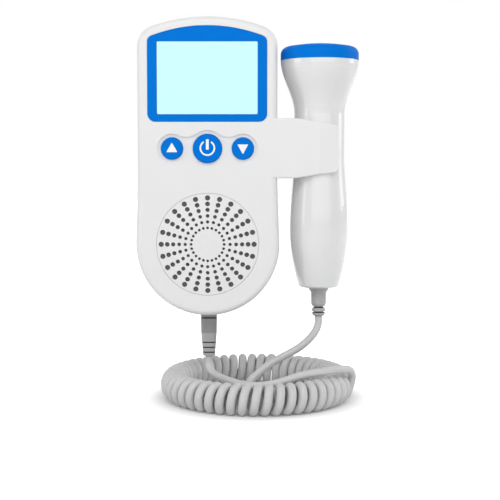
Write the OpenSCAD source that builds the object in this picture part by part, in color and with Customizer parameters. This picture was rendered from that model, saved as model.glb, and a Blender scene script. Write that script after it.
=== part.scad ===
// Pocket fetal doppler monitor: a main unit with a display, three buttons and a
// loudspeaker, a hand-held probe in a forked holder at its side, and a curly cord.
// Millimetres. X is to the right of the display, +Y is away from the person who
// looks at it, Z is up. The origin is the middle of the main unit's flat back.

/* [Main unit] */
// Height of the main unit
body_h = 134.4; // [120:1:165]
// Width from the shoulders down to the waist
shoulder_w = 62.8; // [58:0.2:78]
// Width of the round bottom end
bottom_w = 65; // [60:0.2:80]
// Height at which the sides begin to flare, above the middle of the unit
waist_z = -8; // [-12:1:0]
// Depth from the front face to the flat back
body_d = 28; // [26:0.5:36]
// Radius of the crowned top edge
crown_r = 75; // [60:1:120]
// Radius of the two top corners
shoulder_r = 9.5; // [6:0.5:14]
// Rounding between the faces and the sides
edge_r = 2.6; // [1:0.1:3.5]
// Wall of the two housing shells
wall = 2; // [1.6:0.1:2.6]

/* [Display] */
// Width of the blue frame
bezel_w = 53.4; // [46:0.2:56]
// Width of the face left above the frame
bezel_margin = 4.3; // [3:0.1:8]
// Lower edge of the frame, above the middle of the unit
bezel_bottom_z = 20.4; // [18:0.2:30]
// Thickness of the frame
bezel_t = 1; // [0.6:0.1:1.2]
// Width of the viewing window
window_w = 45.2; // [34:0.2:47]
// Height of the viewing window
window_h = 32.4; // [20:0.2:34]
// Middle of the window, above the middle of the unit
window_z = 39.8; // [36:0.2:46]

/* [Buttons] */
// Diameter of the power button
power_d = 13; // [10:0.1:15.6]
// Diameter of the two volume buttons
side_d = 9.8; // [7:0.1:12]
// Distance between neighbouring buttons
button_pitch = 15.9; // [14:0.1:18]
// Height of the button row above the middle of the unit
button_z = 8.4; // [6:0.1:9]
// How far a cap stands out of the front face
button_proud = 0.5; // [0:0.1:1]
// How far a cap travels when it is pressed
button_travel = 0.6; // [0.3:0.1:0.8]
// Depth of the three-lobed pocket round the buttons
pocket_depth = 0.8; // [0.2:0.1:1]
// Rim of the pocket beyond each cap
pocket_rim = 1.7; // [1:0.1:2.2]

/* [Loudspeaker] */
// Radius of the grille disc
grille_r = 23; // [22.6:0.1:24.5]
// Holes along each spoke
grille_rings = 6; // [3:1:6]
// Spokes of holes
grille_spokes = 24; // [12:2:24]
// Radius of the innermost ring of holes
ring_first_r = 7.45; // [6:0.1:8]
// Distance between rings of holes
ring_step = 2.7; // [2.5:0.1:2.8]
// Diameter of the innermost holes
hole_first_d = 1.25; // [0.8:0.05:1.35]
// Growth of the hole diameter from ring to ring
hole_grow = 0.22; // [0.05:0.01:0.24]
// Height of the grille's crown over its rim
grille_crown = 0.4; // [0:0.1:0.8]

/* [Probe] */
// Distance from the unit's middle to the probe's axis
probe_x = 51; // [50.5:0.1:60]
// Diameter of the sensing head
head_d = 35.7; // [30:0.1:36]
// Diameter of the neck that sits in the holder
neck_d = 23.1; // [18:0.1:23.4]
// Diameter of the grip's bulge
bulge_d = 27; // [24:0.1:30]
// Radius of the long arc that draws the grip in towards the cord
tail_arc_r = 85; // [75:1:140]
// Height of the seam under the blue cap, above the middle of the unit
seam_z = 48.5; // [44:0.1:52]
// Height of the blue cap
cap_h = 7.7; // [6:0.1:10]
// Lowest point of the probe's shells
probe_bottom_z = -55.4; // [-57:0.1:-52]
// Wall of the probe's shells
probe_wall = 1.8; // [1.4:0.1:2.2]

/* [Holder] */
// Height of the holder where it leaves the unit
holder_root_h = 26.9; // [20:0.1:28]
// Height of the holder at its tip
holder_tip_h = 21.4; // [16:0.1:24]
// Middle of the holder, above the middle of the unit
holder_z = 8.5; // [6:0.1:10]
// Reach of the two jaws past the probe's axis
holder_reach = 7.9; // [5:0.1:10]
// Drop of the jaw's face from its crease to its tip
holder_crease = 1.1; // [0.4:0.1:1.2]
// Running gap between the neck and the jaws
holder_gap = 0.25; // [0.2:0.05:0.35]

/* [Battery bay] */
// Lower end of the bay, above the middle of the unit
bay_z = 5; // [4.5:0.1:6]
// Thickness of the battery door
door_t = 1.8; // [1.4:0.1:1.9]
// Gap round the battery door
door_gap = 0.25; // [0.2:0.05:0.4]

/* [Cord] */
// Diameter of the cord in the curls
cord_d = 3.8; // [3:0.1:3.8]
// Diameter of the two straight leads
lead_d = 3.5; // [3:0.1:3.6]
// Height of the curls
curl_h = 14.2; // [13.8:0.1:14.8]
// Width of the curls across the ring
curl_w = 12.4; // [11.6:0.1:12.6]
// Radius of the ring that the curly part lies in, at the middle of the curls
ring_r = 38.9; // [38.8:0.1:40]
// Whole curls in the ring
curls = 49; // [30:1:49]

/* [Hidden] */

// Colours
white_plastic = "whitesmoke";
blue_plastic = "dodgerblue";
grey_rubber = "darkgray";
cord_grey = "silver";
metal = "lightsteelblue";

// Facets of round parts, and of the housing's corner arcs
round_fn = 96;
corner_steps = 8;
bottom_steps = 18;
crown_steps = 16;
edge_steps = 5;

// Fits
fit = 0.15;
small = 0.01;

// The housing
front_y = -body_d;
mid_y = -body_d / 2;
top_z = body_h / 2;
bottom_r = bottom_w / 2;
bottom_z = bottom_r - top_z;
crown_z = top_z - crown_r;
seam_groove = 0.25;
inner_front_y = front_y + wall;
inner_back_y = -wall;

// The display and the board behind it
bezel_corner_r = 3.6;
bezel_top_r = 3;
lcd_rim = 0.6;
board_t = 1.6;
lcd_t = 5.6;
board_front_y = inner_front_y + lcd_t + 0.3;
board_back_y = board_front_y + board_t;
board_w = 46;
board_top_z = top_z - 7.2;
board_low_z = bottom_z - 11.3;
board_tail_w = 18;

// The screws
screw_x = 26.2;
screw_z = top_z - 15.7;
screw_low_x = 18.4;
screw_low_z = bottom_z - 19.7;
boss_r = 3;
tower_r = 3.9;
screw_head_d = 4.2;
screw_head_t = 1.8;
screw_shank_d = 2;
screw_sink = 5;
screw_grip = 3;
screw_l = -mid_y - screw_sink + screw_grip;

// The buttons
button_flange = 0.8;
flange_t = 0.7;
stem_d = 3;
switch_w = 6;
switch_t = 2.2;
pocket_blend_r = 8;

// The speaker
grille_t = 1;
ledge_w = 0.7;
ledge_r = grille_r - ledge_w;
collar_r = grille_r + 0.3;
collar_t = 1.2;
collar_l = 4.6;

// The battery bay, for two AA cells
cell_d = 14.5;
cell_l = 50.5;
cell_gap = 0.3;
cell_pitch = cell_d + 2 * cell_gap;
bay_wall = 1.2;
bay_w = 2 * cell_d + 4 * cell_gap + 1;
spring_room = 3;
plate_t = 0.3;
bay_l = cell_l + spring_room + 2 * plate_t + 0.2;
bay_floor_y = board_back_y + 0.4;
cell_y = bay_floor_y + 1 + cell_gap + cell_d / 2;
stud_d = 5.5;
stud_l = 1;
door_w = bay_w + 2 * bay_wall + 0.6;
door_h = bay_l + 2 * bay_wall + 0.4;
door_z = bay_z - bay_wall - 0.2;
door_corner_r = 2;
tongue_w = 4;
tongue_x = bay_w / 2 - 3;
tongue_l = 2.4;
tongue_t = 1;

// The sockets and the plug
pin_d = 3.5;
socket_w = 9;
socket_l = 13;
socket_floor_z = wall - top_z + 0.4;
board_tail_z = socket_floor_z + 2.8;
jack_z = -12;
jack_bore_d = 3.6;
jack_l = 12;
jack_w = 6;
jack_nose_r = 2.9;
plug_top_z = -top_z - 0.3;
plug_handle_z = plug_top_z - 9.2;
plug_bottom_z = plug_top_z - 20;
plug_w = 7.5;
plug_depth = 6.6;
plug_low_w = 5.8;

// The probe
probe_y = mid_y;
flare_z = 24.5;
bulge_top_z = 6;
bulge_z = -28;
profile_step = 2;
bottom_round = 1.6;
cap_round = 3.4;
cap_face_t = 1.8;
dome_rise = 1.4;
skirt_l = 4;
skirt_t = 1.6;
seal_d = 1;
probe_floor_t = 2.4;
boot_hole_r = 3.3;
boot_l = 13.4;
boot_end_z = probe_bottom_z - boot_l;
probe_board_t = 1.6;

// The curly cord's ring. Angles run from +X towards the front.
surface_z = plug_bottom_z - 20.1;
curl_rise = (curl_h - cord_d) / 2;
curl_reach = (curl_w - cord_d) / 2;
ring_centre = [22.5, mid_y, surface_z + curl_h / 2];
ring_start_deg = 14;
ring_sweep_deg = 348;
curl_start_deg = -20;
curl_end_deg = -90;
curl_turns = curls + (curl_start_deg - curl_end_deg) / 360;
rings_per_curl = 8;
coil_rings = round(rings_per_curl * curl_turns);
coil_sides = 6;
lead_sides = 8;

// Routes of the two leads, chosen by hand, from the middle of the plug's end.
// From the unit's plug over the ring to its start
unit_route = [
    [0.3, -1.3, -6.3], [2.6, -4, -8.3], [6, -9, -9.1], [9, -15, -9],
    [11.8, -21, -8.8], [15, -25.8, -8.8], [19.4, -28.5, -8.9], [24.8, -29.3, -8.6],
    [30.2, -28.8, -7.8], [35.6, -28, -6.4], [40.7, -27, -4.9], [46.1, -26.2, -3.8],
    [51.4, -24.7, -3.3], [56.3, -22.1, -3.1], [60.6, -18.6, -3.3],
    [64.3, -14.4, -4.5], [65.9, -11.2, -7.4]
];
// From the probe's boot down into the ring and along the surface to its end
probe_route = [
    [49.7, -0.2, 11.5], [46.6, -0.5, 7.5], [42, -1, 3.7], [36.7, -1.5, 0.7],
    [31.6, -2, -2], [27, -2.8, -4.7], [22.8, -4, -7.9], [18.9, -6, -11.5],
    [16.2, -9.2, -14.9], [15, -13.2, -17.5], [15.8, -17.6, -18.2], [19.2, -21.4, -18.2],
    [24.5, -23.6, -18.2], [30.6, -23, -18.2], [36.4, -20, -18.2], [41, -15.6, -18.2],
    [44.8, -10.4, -18.2], [48.6, -5, -18.2]
];

// ---------------------------------------------------------------- helpers

// A flat outline in X and Z, given thickness from y0 back to y1
module slab(y0, y1) {
    translate([0, y1, 0])
        rotate([90, 0, 0])
            linear_extrude(y1 - y0)
                children();
}

// A round bar along Y at (x, z)
module bar_y(x, z, y0, y1, d) {
    translate([x, y1, z])
        rotate([90, 0, 0])
            cylinder(h = y1 - y0, d = d, $fn = round_fn);
}

// A profile of [radius, depth] points turned about the Y axis through (x, z)
module turned_y(x, z) {
    translate([x, 0, z])
        rotate([-90, 0, 0])
            rotate_extrude($fn = round_fn)
                children();
}

// A block from one corner to the other
module block(low, high) {
    translate(low)
        cube(high - low);
}

function unit(v) = v / norm(v);
function flip(points) = [for (i = [len(points) - 1 : -1 : 0]) points[i]];
function mirrored(points) = [for (p = flip(points)) [-p[0], p[1]]];
function arc(cx, cy, r, from, to, steps) = [
    for (i = [0 : steps]) let (a = from + (to - from) * i / steps) [cx + r * cos(a), cy + r * sin(a)]
];
function ease(s) = s * s * (3 - 2 * s);

// A rectangle with round corners, as points
function round_rect(w, h, r, cx = 0, cy = 0, steps = 6) = concat(
    arc(cx + w / 2 - r, cy - h / 2 + r, r, -90, 0, steps),
    arc(cx + w / 2 - r, cy + h / 2 - r, r, 0, 90, steps),
    arc(cx - w / 2 + r, cy + h / 2 - r, r, 90, 180, steps),
    arc(cx - w / 2 + r, cy - h / 2 + r, r, 180, 270, steps)
);

// A top edge: two corner arcs that run into the crown's arc.
// half: half width; r: corner radius; top_r: crown radius about (0, crown_z)
function crowned_top(half, r, top_r) =
    let (cx = half - r)
    let (cz = crown_z + sqrt(pow(top_r - r, 2) - cx * cx))
    let (turn = atan2(cz - crown_z, cx))
    let (corner = arc(cx, cz, r, 0, turn, corner_steps))
    let (crown = arc(0, crown_z, top_r, turn, 180 - turn, crown_steps))
    concat(corner, [for (k = [1 : crown_steps - 1]) crown[k]], mirrored(corner));

// The unit's outline, drawn in by inset all round, from the middle of its round end.
// Its sides are upright down to the waist, and below it they flare to the round end.
function body_outline(inset) =
    let (round_end = arc(0, bottom_z, bottom_r - inset, 270, 360, bottom_steps))
    let (low = concat(round_end, [[shoulder_w / 2 - inset, waist_z]]))
    let (top = crowned_top(shoulder_w / 2 - inset, shoulder_r - inset, crown_r - inset))
    let (left = mirrored(low))
    concat(low, top, [for (k = [0 : len(left) - 2]) left[k]]);

// The blue frame's outline: its top edge runs alongside the unit's crown
function bezel_outline(grow) = concat(
    arc(bezel_corner_r - bezel_w / 2 - grow, bezel_bottom_z + bezel_corner_r - grow, bezel_corner_r,
        180, 270, corner_steps),
    arc(bezel_w / 2 + grow - bezel_corner_r, bezel_bottom_z + bezel_corner_r - grow, bezel_corner_r,
        270, 360, corner_steps),
    crowned_top(bezel_w / 2 + grow, bezel_top_r, crown_r - bezel_margin + grow)
);

// Triangles that close a ring of n points, in strips between points k and n - k
function closing(n) = concat(
    [[0, 1, n - 1]],
    [for (k = [2 : floor((n - 1) / 2)]) each [[k - 1, k, n - k], [k - 1, n - k, n - k + 1]]],
    n % 2 == 0 ? [[n / 2 - 1, n / 2, n / 2 + 1]] : []
);

// A closed solid through rings of points that all have the same count
module loft(rings) {
    n = len(rings[0]);
    last = len(rings) - 1;
    sides = [
        for (k = [0 : last - 1]) for (i = [0 : n - 1])
            let (a = k * n + i, b = k * n + (i + 1) % n)
            each [[a, b + n, b], [a, a + n, b + n]]
    ];
    polyhedron(
        points = [for (ring = rings) each ring],
        faces = concat(closing(n), sides, [for (t = closing(n)) last * n * [1, 1, 1] + flip(t)])
    );
}

// ---------------------------------------------------------------- housing

// One half of the housing's outside, from the parting plane to the face at outer_y
module body_half(outer_y) {
    way = outer_y < mid_y ? -1 : 1;
    insets = concat(
        [[seam_groove, mid_y], [0, mid_y + way * seam_groove]],
        [for (k = [0 : edge_steps]) let (a = 90 * k / edge_steps)
            [edge_r * (1 - cos(a)), outer_y - way * edge_r * (1 - sin(a))]]
    );
    rings = [for (step = insets) [for (p = body_outline(step[0])) [p[0], step[1], p[1]]]];
    loft(way < 0 ? rings : flip(rings));
}

// Outline of the holder's arm in X and Z, drawn in by inset along its free edges
crease_x = probe_x - 0.5;
arm_root_x = shoulder_w / 2 - edge_r - 1;
arm_knee_x = probe_x - neck_d / 2 + 0.5;
arm_tip_x = probe_x + holder_reach;
tip_corner_r = 2.5;
arm_edge_r = 0.7;
function arm_points(inset) =
    let (root = holder_root_h / 2 - inset, tip = holder_tip_h / 2 - inset - tip_corner_r)
    let (corner_x = arm_tip_x - inset - tip_corner_r)
    concat(
        [[arm_root_x, holder_z - root], [arm_knee_x, holder_z - root]],
        arc(corner_x, holder_z - tip, tip_corner_r, -80, 0, 5),
        arc(corner_x, holder_z + tip, tip_corner_r, 0, 80, 5),
        [[arm_knee_x, holder_z + root], [arm_root_x, holder_z + root]]
    );

// One half of the forked holder: the front jaw or the rear jaw, with its half of the web.
// Past the crease its face falls away towards the tip.
module holder_half(outer_y) {
    way = outer_y < mid_y ? -1 : 1;
    insets = concat(
        [[0, mid_y]],
        [for (k = [0 : 3]) let (a = 30 * k)
            [arm_edge_r * (1 - cos(a)), outer_y - way * arm_edge_r * (1 - sin(a))]]
    );
    rings = [for (step = insets) [for (p = arm_points(step[0])) [p[0], step[1], p[1]]]];
    past_x = arm_tip_x + 1;
    fall = holder_crease * (past_x - crease_x) / (arm_tip_x - crease_x);
    difference() {
        loft(way < 0 ? rings : flip(rings));
        translate([0, 0, holder_z - holder_root_h])
            linear_extrude(2 * holder_root_h)
                polygon([
                    [crease_x, outer_y], [past_x, outer_y - way * fall],
                    [past_x, outer_y + way], [crease_x, outer_y + way]
                ]);
    }
}

// The space that the probe's neck takes in the holder and as it slides out sideways
module neck_space() {
    low_z = holder_z - holder_root_h / 2 - 3;
    high_z = holder_z + holder_root_h / 2 + 3;
    levels = [low_z : profile_step : high_z + profile_step];
    half = [for (z = levels) [probe_r(z) + holder_gap, z]];
    translate([probe_x, probe_y, 0]) {
        rotate_extrude($fn = round_fn)
            polygon(concat([[0, half[0][1]]], half, [[0, half[len(half) - 1][1]]]));
        rotate([90, 0, 90])
            linear_extrude(holder_reach + 10)
                polygon(concat(half, [for (p = flip(half)) [-p[0], p[1]]]));
    }
}

// The hollow in the web between the unit and the neck
web_wall = 1.6;
module web_core(y0, y1) {
    left = shoulder_w / 2 + web_wall;
    right = probe_x - neck_d / 2 - holder_gap - web_wall;
    half = holder_root_h / 2 - web_wall - 1;
    if (right - left > 0.6)
        block([left, y0, holder_z - half], [right, y1, holder_z + half]);
}

// The holes through both shells at the parting plane for the two sockets
module socket_holes() {
    translate([0, mid_y, -top_z - 5])
        cylinder(h = wall + 10, r = 3.6, $fn = round_fn);
    translate([-bottom_r - 5, mid_y, jack_z])
        rotate([90, 0, 90])
            cylinder(h = 12, r = jack_nose_r + fit, $fn = round_fn);
}

screw_places = [
    [-screw_x, screw_z], [screw_x, screw_z], [-screw_low_x, screw_low_z], [screw_low_x, screw_low_z]
];
post_places = [[-20, 17.2], [20, 17.2], [-19, -5], [19, -5]];

module front_shell() {
    color(white_plastic)
    difference() {
        union() {
            difference() {
                union() {
                    body_half(front_y);
                    holder_half(front_y);
                }
                slab(inner_front_y, mid_y + 1)
                    polygon(body_outline(wall));
                web_core(inner_front_y, mid_y + 1);
            }
            for (p = screw_places)
                bar_y(p[0], p[1], inner_front_y - small, mid_y, 2 * boss_r);
            for (p = post_places)
                bar_y(p[0], p[1], inner_front_y - small, board_front_y, 4);
            turned_y(0, bottom_z)
                polygon([
                    [ledge_r, inner_front_y - small], [collar_r + collar_t, inner_front_y - small],
                    [collar_r + collar_t, inner_front_y + collar_l], [collar_r, inner_front_y + collar_l],
                    [collar_r, inner_front_y], [ledge_r, inner_front_y]
                ]);
        }
        neck_space();
        for (p = screw_places)
            bar_y(p[0], p[1], mid_y - 10, mid_y + 1, screw_shank_d + 0.1);
        // The frame's recess and the window's opening behind it
        slab(front_y - 1, front_y + bezel_t)
            polygon(bezel_outline(fit));
        slab(front_y - 1, inner_front_y + 1)
            polygon(round_rect(window_w + 2 * fit, window_h + 2 * fit, 0.6, 0, window_z));
        // The buttons' pocket and holes
        slab(front_y - 1, front_y + pocket_depth)
            pocket_outline();
        for (i = [-1 : 1])
            bar_y(i * button_pitch, button_z, front_y - 1, inner_front_y + 1, cap_d(i) + 2 * fit);
        // The grille's seat and the opening behind it
        bar_y(0, bottom_z, front_y - 1, front_y + grille_t, 2 * (grille_r + fit));
        bar_y(0, bottom_z, front_y - 1, inner_front_y + 1, 2 * ledge_r);
        socket_holes();
    }
}

// The door's outline, and the same grown by its gap for the opening
module door_outline(grow) {
    polygon(round_rect(door_w + 2 * grow, door_h + 2 * grow, door_corner_r, 0, door_z + door_h / 2));
}

module back_shell() {
    bay_x = bay_w / 2;
    bay_top = bay_z + bay_l;
    color(white_plastic)
    difference() {
        union() {
            difference() {
                union() {
                    body_half(0);
                    holder_half(0);
                }
                slab(mid_y - 1, inner_back_y)
                    polygon(body_outline(wall));
                web_core(mid_y - 1, inner_back_y);
            }
            for (p = screw_places)
                bar_y(p[0], p[1], mid_y, inner_back_y + small, 2 * tower_r);
            // The battery bay hangs from the back wall like a tray
            block([-bay_x - bay_wall, bay_floor_y, bay_z - bay_wall],
                [bay_x + bay_wall, inner_back_y + small, bay_top + bay_wall]);
        }
        neck_space();
        for (p = screw_places) {
            bar_y(p[0], p[1], mid_y - 1, 1, screw_shank_d + 0.4);
            bar_y(p[0], p[1], -screw_sink, 1, screw_head_d + 0.4);
        }
        block([-bay_x, bay_floor_y + 1, bay_z], [bay_x, 1, bay_top]);
        slab(-door_t - door_gap, 1)
            door_outline(door_gap);
        // Slots for the door's two tongues, and for the feet that carry them
        for (side = [-1, 1])
            let (left = side * tongue_x - tongue_w / 2 - 0.4, right = side * tongue_x + tongue_w / 2 + 0.4) {
                block([left, inner_back_y - 2.6, door_z - tongue_l - 1], [right, inner_back_y, bay_z + 0.5]);
                block([left, inner_back_y - 1, door_z], [right, -door_t, bay_z + 0.5]);
            }
        socket_holes();
    }
}

// ---------------------------------------------------------------- display

module display_bezel() {
    color(blue_plastic)
    difference() {
        slab(front_y, front_y + bezel_t)
            polygon(bezel_outline(0));
        slab(front_y - 1, front_y + bezel_t + 1)
            polygon(round_rect(window_w, window_h, 0.6, 0, window_z));
    }
}

// The window sits in the frame's opening and stops on the display behind it
module display_window() {
    color("paleturquoise")
    slab(front_y + 0.1, inner_front_y)
        polygon(round_rect(window_w - 2 * fit, window_h - 2 * fit, 0.5, 0, window_z));
}

module lcd_panel() {
    color("lightcyan")
    difference() {
        slab(inner_front_y, inner_front_y + lcd_t)
            polygon(round_rect(window_w + 2 * lcd_rim, window_h + 4, 0.5, 0, window_z));
        // The step of the glass over its backlight
        slab(inner_front_y + 1.2, inner_front_y + 1.6)
            difference() {
                square(200, center = true);
                polygon(round_rect(window_w + 2 * lcd_rim - 0.8, window_h + 3.2, 0.5, 0, window_z));
            }
    }
}

// The processor and the amplifier: [left, low, right, high, thickness]
board_chips = [[-6, -9, 4, 1, 1.2], [-12, -34, -5, -27, 1]];
// The power coil: [x, z, height, diameter]
board_coil = [9, -22, 3.5, 8];
// Two tooling holes near the board's foot: [x, height over its lower edge, diameter]
board_hole = [20.5, 3.5, 2.4];
module main_board() {
    color("seagreen")
    difference() {
        union() {
            block([-board_w / 2, board_front_y, board_low_z], [board_w / 2, board_back_y, board_top_z]);
            block([-board_tail_w / 2, board_front_y, board_tail_z],
                [board_tail_w / 2, board_back_y, board_low_z]);
            for (chip = board_chips)
                block([chip[0], board_back_y - small, chip[1]], [chip[2], board_back_y + chip[4], chip[3]]);
            bar_y(board_coil[0], board_coil[1], board_back_y - small, board_back_y + board_coil[2],
                board_coil[3]);
        }
        for (side = [-1, 1])
            bar_y(side * board_hole[0], board_low_z + board_hole[1], board_front_y - 1, board_back_y + 1,
                board_hole[2]);
    }
}

// ---------------------------------------------------------------- buttons

function cap_d(i) = i == 0 ? power_d : side_d;

// The three lobes of the pocket, joined by arcs that touch both circles
module pocket_outline() {
    mid_r = power_d / 2 + pocket_rim;
    end_r = side_d / 2 + pocket_rim;
    reach_mid = mid_r + pocket_blend_r;
    reach_end = end_r + pocket_blend_r;
    blend_x = (pow(button_pitch, 2) + pow(reach_mid, 2) - pow(reach_end, 2)) / (2 * button_pitch);
    blend_z = sqrt(pow(reach_mid, 2) - pow(blend_x, 2));
    translate([0, button_z]) {
        circle(r = mid_r, $fn = round_fn);
        for (side = [-1, 1]) {
            translate([side * button_pitch, 0])
                circle(r = end_r, $fn = round_fn);
            difference() {
                polygon([
                    [0, 0], [side * blend_x, blend_z], [side * button_pitch, 0], [side * blend_x, -blend_z]
                ]);
                for (end = [-1, 1])
                    translate([side * blend_x, end * blend_z])
                        circle(r = pocket_blend_r, $fn = round_fn);
            }
        }
    }
}

// A button: cap, the flange that keeps it behind the face, and the stem to its switch
module button(i) {
    d = cap_d(i);
    edge = 0.4;
    cap_y = front_y - button_proud;
    flange_y = inner_front_y + 0.3;
    stem_y = board_front_y - switch_t - button_travel - 0.3;
    color(blue_plastic)
    turned_y(i * button_pitch, button_z)
        polygon([
            [0, cap_y], [d / 2 - edge, cap_y], [d / 2 - 0.1, cap_y + 0.15], [d / 2, cap_y + edge],
            [d / 2, flange_y], [d / 2 + button_flange, flange_y],
            [d / 2 + button_flange, flange_y + flange_t], [stem_d / 2, flange_y + flange_t],
            [stem_d / 2, stem_y], [0, stem_y]
        ]);
}

module power_button() {
    button(0);
}

module volume_up_button() {
    button(-1);
}

module volume_down_button() {
    button(1);
}

// Three push switches on the board, one behind each stem
module button_switches() {
    color("dimgray")
    for (i = [-1 : 1]) {
        block([i * button_pitch - switch_w / 2, board_front_y - switch_t + 0.6, button_z - switch_w / 2],
            [i * button_pitch + switch_w / 2, board_front_y, button_z + switch_w / 2]);
        bar_y(i * button_pitch, button_z, board_front_y - switch_t, board_front_y - 1, stem_d);
    }
}

// ---------------------------------------------------------------- loudspeaker

module speaker_grille() {
    dome_r = (pow(grille_r, 2) + pow(grille_crown, 2)) / (2 * max(grille_crown, small));
    dome = [for (k = [0 : 8]) let (r = grille_r * k / 8)
        [r, front_y - grille_crown + dome_r - sqrt(pow(dome_r, 2) - r * r)]];
    color(white_plastic)
    difference() {
        turned_y(0, bottom_z)
            polygon(concat(dome, [[grille_r, front_y + grille_t], [0, front_y + grille_t]]));
        for (ring = [0 : grille_rings - 1])
            for (spoke = [0 : grille_spokes - 1])
                let (r = ring_first_r + ring * ring_step, a = 360 * spoke / grille_spokes)
                    translate([r * sin(a), front_y + 5, bottom_z + r * cos(a)])
                        rotate([90, 0, 0])
                            cylinder(h = 10, d = hole_first_d + ring * hole_grow, $fn = 24);
    }
}

module speaker_cloth() {
    color("dimgray")
    bar_y(0, bottom_z, front_y + grille_t, front_y + grille_t + 0.3, 2 * ledge_r - 0.2);
}

// Profiles of the basket with its magnet pot, and of the cone with its roll surround and
// dust cap, as points of radius and depth behind the front wall
basket_r = collar_r - 0.2;
basket = [
    [basket_r, 0], [basket_r, 1.2], [17, 1.6], [10.4, 3.4], [10.4, 5.2], [0, 5.2], [0, 3], [9.6, 3],
    [16.4, 1], [20.4, 0.5], [20.4, 0]
];
cone = [
    [20.1, 0], [20.1, 0.4], [17.5, -0.1], [16, 0.6], [8, 2.2], [6, 1.9], [3, 1.5], [0, 1.4],
    [0, 1.1], [3, 1.2], [6, 1.6], [8, 1.9], [15.8, 0.3], [17.5, -0.4], [19, 0]
];

module speaker_frame() {
    color("gray")
    turned_y(0, bottom_z)
        polygon([for (p = basket) [p[0], inner_front_y + p[1]]]);
}

module speaker_cone() {
    color("black")
    turned_y(0, bottom_z)
        polygon([for (p = cone) [p[0], inner_front_y + p[1]]]);
}

// ---------------------------------------------------------------- batteries

module battery_door() {
    grip_z = door_z + door_h - 8;
    color(white_plastic)
    union() {
        difference() {
            slab(-door_t, 0)
                door_outline(0);
            // The thumb rest near the free edge, with three ribs left standing
            slab(-0.6, 1)
                polygon(round_rect(16, 8, 2, 0, grip_z));
            // The gap at the free edge that a nail goes into
            block([-4, -1, door_z + door_h - 0.9], [4, 1, door_z + door_h + 1]);
        }
        for (k = [-1 : 1])
            block([-6, -0.7, grip_z + 2.2 * k - 0.4], [6, 0, grip_z + 2.2 * k + 0.4]);
        // Tongues that reach under the back wall, and the feet that carry them
        for (side = [-1, 1]) {
            block([side * tongue_x - tongue_w / 2, inner_back_y - 0.3 - tongue_t, door_z - tongue_l],
                [side * tongue_x + tongue_w / 2, inner_back_y - 0.3, door_z + 1]);
            block([side * tongue_x - tongue_w / 2, inner_back_y - 0.3 - tongue_t, door_z + 0.2],
                [side * tongue_x + tongue_w / 2, -door_t + small, door_z + 1]);
        }
    }
}

// An AA cell along Z from its flat end at z, its stud up if way is 1 and down if it is -1
module aa_cell(x, z, way) {
    rounding = 0.6;
    can_l = cell_l - stud_l;
    translate([x, cell_y, way > 0 ? z : z + cell_l])
        rotate([way > 0 ? 0 : 180, 0, 0])
            rotate_extrude($fn = round_fn)
                polygon([
                    [0, 0], [cell_d / 2 - rounding, 0], [cell_d / 2, rounding],
                    [cell_d / 2, can_l - rounding], [cell_d / 2 - rounding, can_l],
                    [stud_d / 2, can_l], [stud_d / 2 - 0.3, cell_l], [0, cell_l]
                ]);
}

cell_low_z = bay_z + plate_t + 0.1;
cell_high_z = bay_z + bay_l - plate_t - 0.1 - cell_l;

module battery_cells() {
    color("goldenrod") {
        aa_cell(-cell_pitch / 2, cell_high_z, 1);
        aa_cell(cell_pitch / 2, cell_low_z, -1);
    }
}

spring_wire_d = 0.6;
spring_turns = 2.25;
function spring_point(t, x, z, way) =
    let (r = 4.4 - 0.7 * t, a = 360 * t)
    let (rise = spring_wire_d / 2 + (spring_room - spring_wire_d) * min(1, t / (spring_turns - 0.25)))
    [x + r * cos(a), cell_y + r * sin(a), z + way * rise];

module contact_spring(x, z, way) {
    steps = 8 * spring_turns;
    path = [for (i = [0 : steps]) spring_point(i / 8, x, z, way)];
    tube(path, spring_wire_d / 2, 6, [0, 0, way]);
}

module battery_springs() {
    color(metal) {
        contact_spring(-cell_pitch / 2, bay_z + plate_t, 1);
        contact_spring(cell_pitch / 2, bay_z + bay_l - plate_t, -1);
    }
}

// One plate joins both cells at the top; two separate plates meet them at the bottom
plate_low_y = cell_y - 5;
plate_high_y = cell_y + 4.4;
module contact_plate(x0, x1, z) {
    block([x0, plate_low_y, z], [x1, plate_high_y, z + plate_t]);
}

module contact_bridge() {
    color(metal)
    contact_plate(-cell_pitch / 2 - 5, cell_pitch / 2 + 5, bay_z + bay_l - plate_t);
}

module contact_terminals() {
    color(metal)
    for (side = [-1, 1])
        contact_plate(side * cell_pitch / 2 - 5, side * cell_pitch / 2 + 5, bay_z);
}

// Four screws that hold the shells together, driven in from the back
module housing_screws() {
    color(metal)
    for (p = screw_places)
        turned_y(p[0], p[1])
            polygon([
                [0, -screw_sink + screw_head_t - 0.7], [0.7, -screw_sink + screw_head_t],
                [screw_head_d / 2 - 0.5, -screw_sink + screw_head_t],
                [screw_head_d / 2, -screw_sink + screw_head_t - 0.6], [screw_head_d / 2, -screw_sink],
                [screw_shank_d / 2, -screw_sink], [screw_shank_d / 2, -screw_sink - screw_l + 1],
                [0.2, -screw_sink - screw_l], [0, -screw_sink - screw_l]
            ]);
}

// ---------------------------------------------------------------- sockets and plug

module plug_socket() {
    color("dimgray")
    difference() {
        union() {
            block([-socket_w / 2, board_back_y, socket_floor_z],
                [socket_w / 2, mid_y + socket_w / 2, socket_floor_z + socket_l]);
            translate([0, mid_y, -top_z + 0.3])
                cylinder(h = wall + 1, r = 3.4, $fn = round_fn);
        }
        translate([0, mid_y, -top_z - 1])
            cylinder(h = socket_l + 1, d = pin_d + 0.1, $fn = round_fn);
    }
}

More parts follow.
